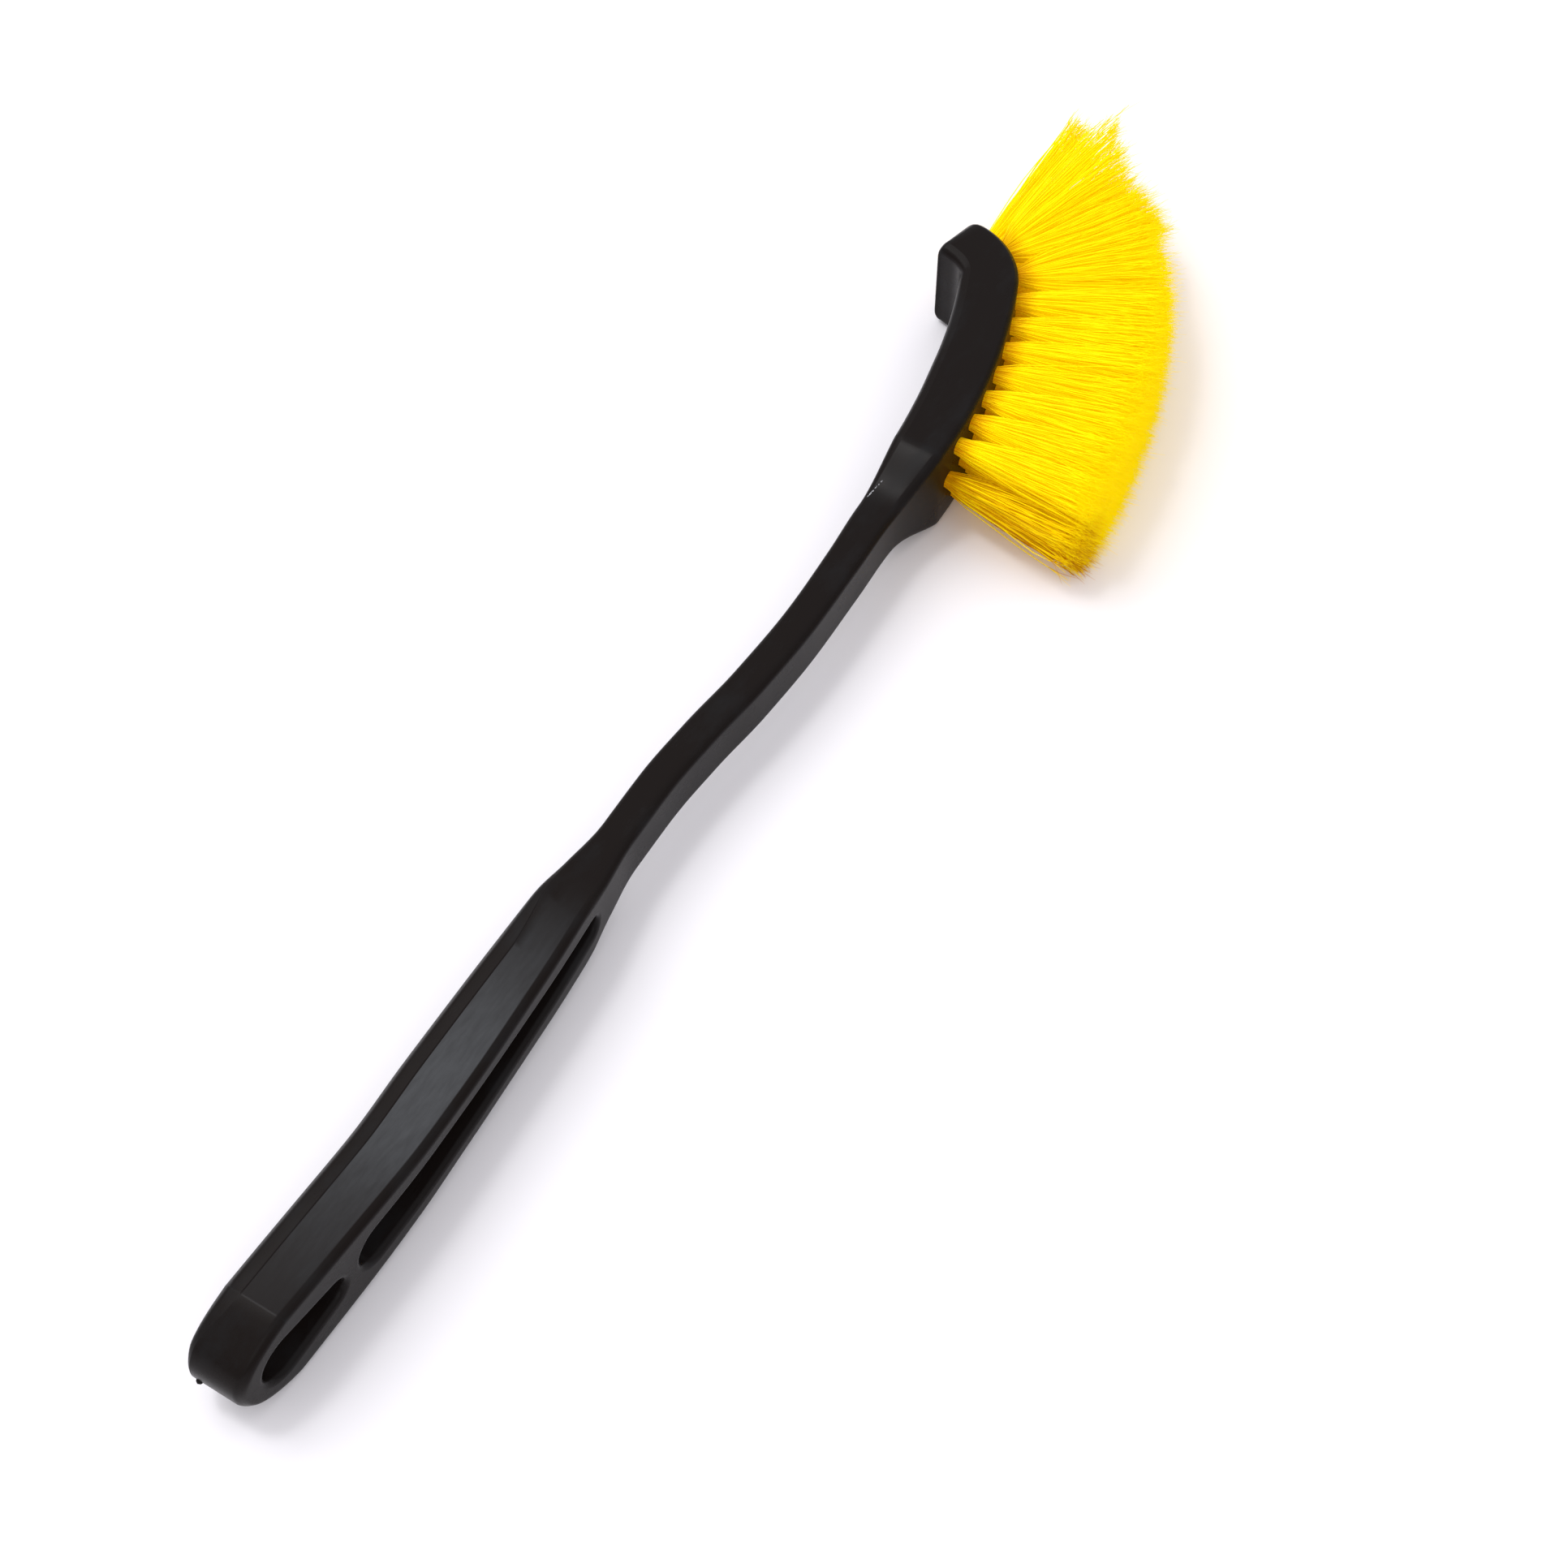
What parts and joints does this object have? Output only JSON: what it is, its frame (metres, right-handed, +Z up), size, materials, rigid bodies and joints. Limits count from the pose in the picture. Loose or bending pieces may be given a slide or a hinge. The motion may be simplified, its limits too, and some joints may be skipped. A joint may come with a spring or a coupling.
{
  "type": "wheel brush",
  "caption": "Long-handled car wheel brush with a slotted black grip, a swayed neck, a head whose tip curls back as a hook, and soft yellow bristle tufts fanned round the head's outer face.",
  "frame": {"origin": "under the centre of the brush's bounding box, on the surface that it lies on", "axes": "+X along the grip from the hanging loop to the head, -Y the way that the bristles point, +Z up from the surface that the brush lies on"},
  "size_m": [0.4376, 0.083, 0.031],
  "materials": {
    "handle_plastic": "satin moulded black polypropylene, lightly grained on the grip's long flats",
    "bristle_yellow": "soft translucent yellow filament with flagged tips",
    "anchor_steel": "flat galvanised anchor wire"
  },
  "bodies": {
    "root": {"handle": "handle_plastic", "tuft_upper_01": "bristle_yellow", "tuft_upper_02": "bristle_yellow", "tuft_upper_03": "bristle_yellow", "tuft_upper_04": "bristle_yellow", "tuft_upper_05": "bristle_yellow", "tuft_upper_06": "bristle_yellow", "tuft_upper_07": "bristle_yellow", "tuft_upper_08": "bristle_yellow", "tuft_upper_09": "bristle_yellow", "tuft_middle_01": "bristle_yellow", "tuft_middle_02": "bristle_yellow", "tuft_middle_03": "bristle_yellow", "tuft_middle_04": "bristle_yellow", "tuft_middle_05": "bristle_yellow", "tuft_middle_06": "bristle_yellow", "tuft_middle_07": "bristle_yellow", "tuft_middle_08": "bristle_yellow", "tuft_middle_09": "bristle_yellow", "tuft_middle_10": "bristle_yellow", "tuft_middle_11": "bristle_yellow", "tuft_lower_01": "bristle_yellow", "tuft_lower_02": "bristle_yellow", "tuft_lower_03": "bristle_yellow", "tuft_lower_04": "bristle_yellow", "tuft_lower_05": "bristle_yellow", "tuft_lower_06": "bristle_yellow", "tuft_lower_07": "bristle_yellow", "tuft_lower_08": "bristle_yellow", "tuft_lower_09": "bristle_yellow", "anchor_upper_01": "anchor_steel", "anchor_upper_02": "anchor_steel", "anchor_upper_03": "anchor_steel", "anchor_upper_04": "anchor_steel", "anchor_upper_05": "anchor_steel", "anchor_upper_06": "anchor_steel", "anchor_upper_07": "anchor_steel", "anchor_upper_08": "anchor_steel", "anchor_upper_09": "anchor_steel", "anchor_middle_01": "anchor_steel", "anchor_middle_02": "anchor_steel", "anchor_middle_03": "anchor_steel", "anchor_middle_04": "anchor_steel", "anchor_middle_05": "anchor_steel", "anchor_middle_06": "anchor_steel", "anchor_middle_07": "anchor_steel", "anchor_middle_08": "anchor_steel", "anchor_middle_09": "anchor_steel", "anchor_middle_10": "anchor_steel", "anchor_middle_11": "anchor_steel", "anchor_lower_01": "anchor_steel", "anchor_lower_02": "anchor_steel", "anchor_lower_03": "anchor_steel", "anchor_lower_04": "anchor_steel", "anchor_lower_05": "anchor_steel", "anchor_lower_06": "anchor_steel", "anchor_lower_07": "anchor_steel", "anchor_lower_08": "anchor_steel", "anchor_lower_09": "anchor_steel"}
  },
  "joints": []
}
